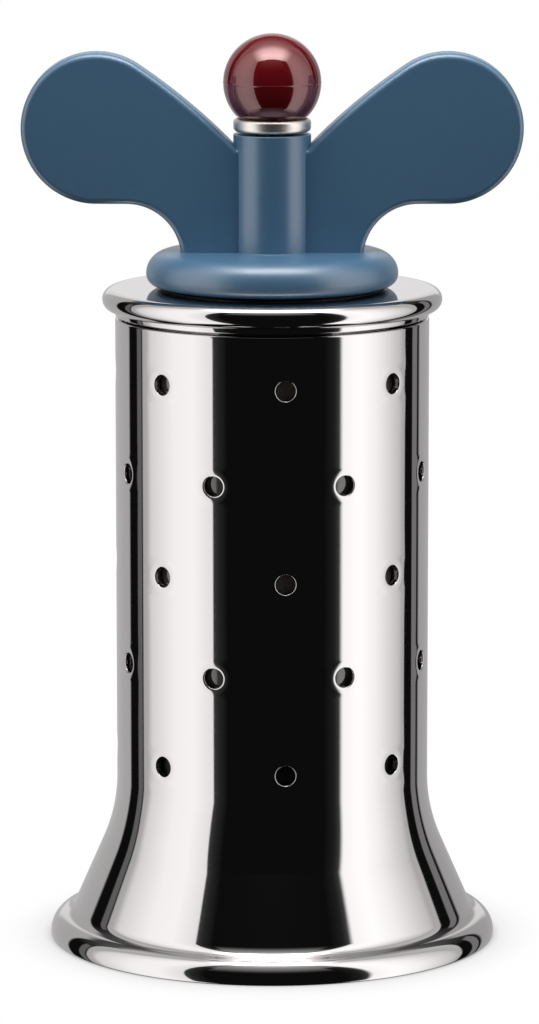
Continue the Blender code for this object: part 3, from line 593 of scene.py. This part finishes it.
def block(size, middle, edge):
    # a box with its edges eased
    shape = bmesh.new()
    bmesh.ops.create_cube(shape, size=1.0)
    bmesh.ops.scale(shape, vec=size, verts=shape.verts)
    bmesh.ops.translate(shape, vec=middle, verts=shape.verts)
    bmesh.ops.bevel(
        shape, geom=shape.edges[:], offset=edge, offset_type="OFFSET", affect="EDGES",
        segments=3, profile=0.5, material=-1,
    )
    return shape


def threaded(crest, low, high):
    # a rod with a ridge wound up it, turned down at both tips and cut off square
    t = thread
    turns = math.ceil((high - low) / t["pitch"]) + t["spareTurns"]
    root = crest - t["depth"]
    ridge = [(root, 0.0), (crest, t["crest"][0]), (crest, t["crest"][1]), (root, 1.0)]
    shape = bmesh.new()
    profile = [
        shape.verts.new((radius, 0, low + (share - t["startBelow"]) * t["pitch"])) for radius, share in ridge
    ]
    sides = [shape.edges.new(pair) for pair in zip(profile, profile[1:])]
    bmesh.ops.spin(
        shape, geom=profile + sides, cent=(0, 0, 0), axis=(0, 0, 1),
        dvec=(0, 0, t["pitch"] / t["stepsToTurn"]), angle=math.tau * turns, steps=t["stepsToTurn"] * turns,
    )
    bmesh.ops.remove_doubles(shape, verts=shape.verts, dist=0.005)
    for vert in shape.verts:
        past = max(vert.co.z - high, low - vert.co.z) + t["tip"]
        limit = crest - max(past, 0)
        if vert.co.xy.length > limit:
            vert.co.xy *= limit / vert.co.xy.length
    for end, outwards in ((low, -1), (high, 1)):
        everything = shape.verts[:] + shape.edges[:] + shape.faces[:]
        bmesh.ops.bisect_plane(
            shape, geom=everything, plane_co=(0, 0, end), plane_no=(0, 0, outwards), clear_outer=True
        )
    bmesh.ops.holes_fill(shape, edges=[e for e in shape.edges if e.is_boundary])
    return toMesh(shape, "thread")


def makeShaft():
    s = shaft
    low, high = boxMm("shaft")
    coneLow, coneHigh = boxMm("burr_cone")
    threadSeat = high.z - s["threadLength"]
    length = threadSeat - coneLow.z
    square = block((s["side"], s["side"], length), (0, 0, coneLow.z + length / 2), s["edge"])
    collarSeat = coneHigh.z + gap
    collarTop = collarSeat + s["collarThickness"]
    outline = [(0.0, collarSeat)]
    for before, corner, after in (
        ((0.0, collarSeat), (high.x, collarSeat), (high.x, collarTop)),
        ((high.x, collarSeat), (high.x, collarTop), (0.0, collarTop)),
    ):
        outline += roundCorner(before, corner, after, s["collarEdge"])
    collar = toMesh(spun(outline + [(0.0, collarTop)], s["steps"]), "collar")
    ends = [
        threaded(s["thread"], threadSeat - s["overlap"], high.z),
        threaded(s["thread"], low.z, coneLow.z + s["overlap"]),
    ]
    addPiece("square_shaft", combined(toMesh(square, "square"), [collar] + ends, "UNION"), "shaft")


def makeScrew(node):
    # a pan-head screw, head down, with a cross to turn it by
    s = screw
    low, high = boxMm(node)
    crown = (s["head"] - s["crown"], low.z + s["crown"])
    headTop = low.z + s["headHeight"]
    outline = [(0.0, low.z)] + arcPoints(crown, s["crown"], -90, 0, s["crownSteps"])
    outline += [(s["head"], headTop), (0.0, headTop)]
    shank = threaded(s["shank"], headTop - s["crown"], high.z)
    body = combined(toMesh(spun(outline, s["steps"]), "head"), [shank], "UNION")
    width, length = s["cross"]
    depth = 2 * s["crossDepth"]
    bars = [
        toMesh(block(size, (0, 0, low.z), s["crossEdge"]), "bar")
        for size in ((width, length, depth), (length, width, depth))
    ]
    mesh = combined(body, bars, "DIFFERENCE")
    mesh.transform(Matrix.Translation(((low.x + high.x) / 2 * mm, 0, 0)))
    addPiece("cross_" + node, mesh, node)


makeShaft()
for node in ("bar_screw_left", "bar_screw_right", "plate_screw_left", "plate_screw_right"):
    makeScrew(node)
print("shaft and screws made")


# moulded and pressed pieces inside, with their edges eased

easedEdges = {
    "cup": ("burr_housing", 0.4), "guide": ("shaft_guide", 0.3), "sleeve": ("drive_sleeve", 0.2),
    "plate": ("turn_plate", 0.2), "bar": ("retaining_bar", 0.3), "nut": ("cone_nut", 0.15),
    "washer": ("thrust_washer", 0.12), "insert": ("knob_insert", 0.12),
}
flat, sharpest = 1, 40  # degrees between faces that are joined into one, and the most that is left uneased


def makeEased(name, node, width):
    shape = bmesh.new()
    shape.from_mesh(frame["nodes"][node].data)
    shape.transform(Matrix.Scale(1 / mm, 4) @ frame["nodes"][node].matrix_world)
    bmesh.ops.remove_doubles(shape, verts=shape.verts, dist=0.001)
    bmesh.ops.dissolve_limit(
        shape, angle_limit=math.radians(flat), use_dissolve_boundaries=False,
        verts=shape.verts, edges=shape.edges,
    )
    sharp = [e for e in shape.edges if e.is_manifold and e.calc_face_angle() > math.radians(sharpest)]
    bmesh.ops.bevel(
        shape, geom=sharp, offset=width, offset_type="OFFSET", affect="EDGES",
        segments=2, profile=0.5, material=-1, clamp_overlap=True,
    )
    addPiece(name, toMesh(shape, name), node)


for name, (node, width) in easedEdges.items():
    makeEased(name, node, width)
print("inner pieces eased:", len(easedEdges))


# spring under the cone: a wire wound up the axis, drawn at one length; in the mill it shortens as the grind
# is set

spring = {"coil": 5.0, "wire": 0.8, "turns": 2.75, "stepsToTurn": 40, "sides": 14, "travel": 1.2}


def makeSpring():
    s = spring
    low, high = boxMm("spring")
    steps = round(s["turns"] * s["stepsToTurn"])
    rise = high.z - low.z - s["wire"]
    foot = Matrix.Translation((s["coil"], 0, low.z + s["wire"] / 2))
    start = foot @ Matrix.Rotation(math.radians(90), 4, "X")
    shape = bmesh.new()
    bmesh.ops.create_circle(shape, segments=s["sides"], radius=s["wire"] / 2, matrix=start)
    bmesh.ops.spin(
        shape, geom=shape.verts[:] + shape.edges[:], cent=(0, 0, 0), axis=(0, 0, 1),
        dvec=(0, 0, rise / steps), angle=math.tau * s["turns"], steps=steps,
    )
    bmesh.ops.holes_fill(shape, edges=[e for e in shape.edges if e.is_boundary])
    coil = addPiece("coil_spring", toMesh(shape, "coil_spring"), "spring")
    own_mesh(coil)


makeSpring()
print("spring made")


# stage: a white floor, a low softbox overhead, and for reflections a dark front between tall softboxes

studio = {
    # each panel: degrees round from the front, left below zero, with the softness of those two sides;
    # degrees up, with the softness of top and bottom; light at so many degrees round, or up;
    # how far the sides lean over for each degree up; and whether they bend away to the back
    "panels": [
        {"round": (-46, 46), "soft": (10, 10), "rise": (34, 120), "riseSoft": 6,
         "light": ((34, 0.01), (40, 0.04), (47, 0.13), (54, 0.24), (64, 0.36), (72, 0.6), (80, 0.95),
                   (90, 1.2)), "by": "rise"},
        {"round": (-48, -34), "soft": (1, 1), "rise": (-60, 55), "riseSoft": 12, "lean": -0.1,
         "light": ((-48, 0.1), (-41, 0.03), (-34, 0.006))},
        {"round": (-400, -45), "soft": (1, 1.2), "rise": (-60, 120), "riseSoft": 5, "lean": -0.1,
         "light": ((-175, 0.25), (-150, 0.4), (-130, 0.75), (-110, 0.6), (-106, 0.64), (-101, 1.05),
                   (-92, 1.2), (-77, 1.45), (-61, 1.5), (-45, 1.22))},
        {"round": (38, 54), "soft": (1, 1), "rise": (-60, 55), "riseSoft": 12, "lean": -0.045,
         "light": ((38, 0.006), (46, 0.02), (54, 0.12))},
        {"round": (51.3, 400), "soft": (4, 1), "rise": (-60, 120), "riseSoft": 5, "lean": -0.045,
         "light": ((51, 1.5), (67, 1.68), (82, 1.45), (98, 1.05), (107, 0.84), (111, 0.62),
                   (130, 0.75), (150, 0.4), (175, 0.25))},
        {"round": (-400, -110.3), "soft": (1, 1.5), "rise": (-400, 48), "riseSoft": 8, "bends": True,
         "light": ((22, 0.006), (34, 0.05), (48, 0.14)), "by": "rise"},
        {"round": (114.3, 400), "soft": (1.5, 1), "rise": (-400, 48), "riseSoft": 8, "bends": True,
         "light": ((22, 0.006), (34, 0.05), (48, 0.14)), "by": "rise"},
        {"round": (-117.5, -111.8), "soft": (1.5, 1.5), "rise": (-60, 26), "riseSoft": 5, "bends": True,
         "light": ((0, 0.17),)},
        {"round": (125.3, 133.3), "soft": (1.5, 1.5), "rise": (-60, 26), "riseSoft": 5, "bends": True,
         "light": ((0, 0.25),)},
        {"round": (-400, -129.8), "soft": (1, 3), "rise": (-45, 34), "riseSoft": 6, "bends": True,
         "light": ((0, 0.56),)},
        {"round": (137.3, 400), "soft": (4, 1), "rise": (-45, 34), "riseSoft": 6, "bends": True,
         "light": ((0, 0.48),)},
        {"round": (-400, -163), "soft": (1, 7), "rise": (4, 34), "riseSoft": 6, "light": ((0, 0.9),)},
        {"round": (163, 400), "soft": (7, 1), "rise": (4, 34), "riseSoft": 6, "light": ((0, 0.9),)},
    ],
    "gloom": 0.006,  # where no panel stands
    "bend": 0.01,  # degrees farther round, for the square of each degree up
}


def makeWorld():
    world = bpy.data.worlds.new("studio")
    bpy.context.scene.world = world
    world.use_nodes = True
    tree = world.node_tree
    tree.nodes.clear()
    place = addNode(tree, "ShaderNodeTexCoord")
    axes = addNode(tree, "ShaderNodeSeparateXYZ", None, {"Vector": place.outputs["Generated"]})
    near = addNode(tree, "ShaderNodeMath", {"operation": "MULTIPLY", 1: -1.0}, {0: axes.outputs["Y"]})
    angle = addNode(
        tree, "ShaderNodeMath", {"operation": "ARCTAN2"}, {0: axes.outputs["X"], 1: near.outputs[0]}
    )
    turn = addNode(tree, "ShaderNodeMath", {"operation": "DEGREES"}, {0: angle.outputs[0]})
    lift = addNode(tree, "ShaderNodeMath", {"operation": "ARCSINE"}, {0: axes.outputs["Z"]})
    rise = addNode(tree, "ShaderNodeMath", {"operation": "DEGREES"}, {0: lift.outputs[0]})
    above = addNode(tree, "ShaderNodeMath", {"operation": "MAXIMUM", 1: 0.0}, {0: rise.outputs[0]})
    square = addNode(tree, "ShaderNodeMath", {"operation": "POWER", 1: 2.0}, {0: above.outputs[0]})
    side = addNode(tree, "ShaderNodeMath", {"operation": "SIGN"}, {0: turn.outputs[0]})
    back = addNode(
        tree, "ShaderNodeMath", {"operation": "MULTIPLY"}, {0: square.outputs[0], 1: side.outputs[0]}
    )
    bent = addNode(
        tree, "ShaderNodeMath", {"operation": "MULTIPLY_ADD", 1: -studio["bend"]},
        {0: back.outputs[0], 2: turn.outputs[0]},
    )

    seen = None
    for panel in studio["panels"]:
        if panel.get("bends"):
            across = bent
        else:
            across = addNode(
                tree, "ShaderNodeMath", {"operation": "MULTIPLY_ADD", 1: -panel.get("lean", 0.0)},
                {0: rise.outputs[0], 2: turn.outputs[0]},
            )
        inside = None
        sides = ((across, panel["round"], panel["soft"]), (rise, panel["rise"], (panel["riseSoft"],) * 2))
        for along, edges, softness in sides:
            for edge, soft in zip(edges, (softness[0], -softness[1])):
                step = addNode(
                    tree, "ShaderNodeMapRange",
                    {"interpolation_type": "SMOOTHSTEP",
                     "From Min": edge - soft / 2, "From Max": edge + soft / 2},
                    {"Value": along.outputs[0]},
                ).outputs["Result"]
                inside = step if inside is None else addNode(
                    tree, "ShaderNodeMath", {"operation": "MULTIPLY"}, {0: inside, 1: step}
                ).outputs[0]
        share = addNode(
            tree, "ShaderNodeMapRange", {"From Min": -180.0, "From Max": 180.0},
            {"Value": (rise if panel.get("by") == "rise" else across).outputs[0]},
        )
        ramp = addNode(tree, "ShaderNodeValToRGB", None, {"Fac": share.outputs["Result"]})
        stops = ramp.color_ramp.elements
        stops.remove(stops[1])
        for degrees, light in panel["light"]:
            stops.new(degrees / 360 + 0.5).color = (light, light, light, 1.0)
        stops.remove(stops[0])
        mixed = addNode(
            tree, "ShaderNodeMix", {"data_type": "FLOAT", 2: studio["gloom"]},
            {0: inside, 3: ramp.outputs["Color"]},
        )
        if seen is not None:
            tree.links.new(seen, mixed.inputs[2])
        seen = mixed.outputs[0]

    # the camera sees white instead
    path = addNode(tree, "ShaderNodeLightPath")
    shown = addNode(
        tree, "ShaderNodeMix", {"data_type": "FLOAT", 3: 1.0}, {0: path.outputs["Is Camera Ray"], 2: seen}
    )
    light = addNode(tree, "ShaderNodeBackground", {"Strength": 1.0}, {"Color": shown.outputs[0]})
    addNode(tree, "ShaderNodeOutputWorld", None, {"Surface": light.outputs["Background"]})


overhead = {
    "height": 235, "front": -66, "back": 70, "half": 88, "sideSoft": 60,
    # brightness from front to back
    "light": ((-66, 6.4), (-38, 7.4), (-11, 5.4), (0, 4.0), (13, 2.0), (27, 1.1), (48, 0.7), (70, 0.3)),
}


def makeOverhead():
    # a softbox that hangs close above the ball, brightest in front, dimmer to the back and clear at the sides
    shape = bmesh.new()
    half, front, back = overhead["half"], overhead["front"], overhead["back"]
    corners = [(-half, front), (half, front), (half, back), (-half, back)]
    shape.faces.new([shape.verts.new((x, y, overhead["height"])) for x, y in corners])
    mesh = toMesh(shape, "overhead")
    finish = bpy.data.materials.new("softbox_cloth")
    finish.use_nodes = True
    tree = finish.node_tree
    tree.nodes.clear()
    place = addNode(tree, "ShaderNodeTexCoord")
    axes = addNode(tree, "ShaderNodeSeparateXYZ", None, {"Vector": place.outputs["Object"]})
    share = addNode(
        tree, "ShaderNodeMapRange", {"From Min": front * mm, "From Max": back * mm},
        {"Value": axes.outputs["Y"]},
    )
    ramp = addNode(tree, "ShaderNodeValToRGB", None, {"Fac": share.outputs["Result"]})
    stops = ramp.color_ramp.elements
    stops.remove(stops[1])
    for depth, light in overhead["light"]:
        stops.new((depth - front) / (back - front)).color = (light, light, light, 1.0)
    stops.remove(stops[0])
    wide = addNode(tree, "ShaderNodeMath", {"operation": "ABSOLUTE"}, {0: axes.outputs["X"]})
    fade = addNode(
        tree, "ShaderNodeMapRange",
        {"interpolation_type": "SMOOTHSTEP",
         "From Min": half * mm, "From Max": (half - overhead["sideSoft"]) * mm},
        {"Value": wide.outputs[0]},
    )
    glow = addNode(tree, "ShaderNodeEmission", {"Strength": 1.0}, {"Color": ramp.outputs["Color"]})
    clear = addNode(tree, "ShaderNodeBsdfTransparent")
    cloth = addNode(
        tree, "ShaderNodeMixShader", None,
        {0: fade.outputs["Result"], 1: clear.outputs["BSDF"], 2: glow.outputs["Emission"]},
    )
    addNode(tree, "ShaderNodeOutputMaterial", None, {"Surface": cloth.outputs["Shader"]})
    mesh.materials.append(finish)
    panel = bpy.data.objects.new("overhead", mesh)
    bpy.context.scene.collection.objects.link(panel)
    panel.visible_camera = False
    panel.visible_shadow = False


floor = {
    "radius": 1500, "segments": 64, "shadowReach": 14.0, "shadow": "#6E6E6E",
    "clear": 0.95,  # where the shadow ends, as a share of open sky
    "bounce": 0.16,  # light that it throws back on the mill
}


def makeFloor():
    shape = bmesh.new()
    bmesh.ops.create_circle(shape, cap_ends=True, segments=floor["segments"], radius=floor["radius"])
    mesh = toMesh(shape, "floor")
    finish = bpy.data.materials.new("white_paper_sweep")
    finish.use_nodes = True
    tree = finish.node_tree
    tree.nodes.clear()
    near = addNode(tree, "ShaderNodeAmbientOcclusion", {"samples": 16, "Distance": floor["shadowReach"] * mm})
    ramp = addNode(tree, "ShaderNodeValToRGB", None, {"Fac": near.outputs["AO"]})
    ramp.color_ramp.elements[0].color = srgb(floor["shadow"])
    ramp.color_ramp.elements[1].position = floor["clear"]
    path = addNode(tree, "ShaderNodeLightPath")
    power = addNode(
        tree, "ShaderNodeMapRange", {"To Min": floor["bounce"], "To Max": 1.0},
        {"Value": path.outputs["Is Camera Ray"]},
    )
    glow = addNode(
        tree, "ShaderNodeEmission", None,
        {"Color": ramp.outputs["Color"], "Strength": power.outputs["Result"]},
    )
    # from below it is clear, to show the underside
    clear = addNode(tree, "ShaderNodeBsdfTransparent")
    under = addNode(tree, "ShaderNodeNewGeometry")
    paper = addNode(
        tree, "ShaderNodeMixShader", None,
        {0: under.outputs["Backfacing"], 1: glow.outputs["Emission"], 2: clear.outputs["BSDF"]},
    )
    addNode(tree, "ShaderNodeOutputMaterial", None, {"Surface": paper.outputs["Shader"]})
    mesh.materials.append(finish)
    ground = bpy.data.objects.new("floor", mesh)
    bpy.context.scene.collection.objects.link(ground)
    ground.visible_glossy = False


camera = {
    "place": (0.0, -770.2, 191.9), "pitch": 80.467, "focalPixels": 5370, "sensor": 36,
    "frame": (539, 1024), "shiftPixels": -2.7, "farthest": 10000,
}


def makeCamera():
    data = bpy.data.cameras.new("camera")
    data.sensor_width = camera["sensor"]
    data.lens = camera["focalPixels"] * camera["sensor"] / camera["frame"][1]
    data.shift_x = camera["shiftPixels"] / camera["frame"][1]
    data.clip_end = camera["farthest"] * mm
    eye = bpy.data.objects.new("camera", data)
    eye.location = Vector(camera["place"]) * mm
    eye.rotation_euler = (math.radians(camera["pitch"]), 0, 0)
    bpy.context.scene.collection.objects.link(eye)
    bpy.context.scene.camera = eye


makeWorld()
makeOverhead()
makeFloor()
makeCamera()
bpy.context.scene.view_settings.view_transform = "Standard"
print("stage set")
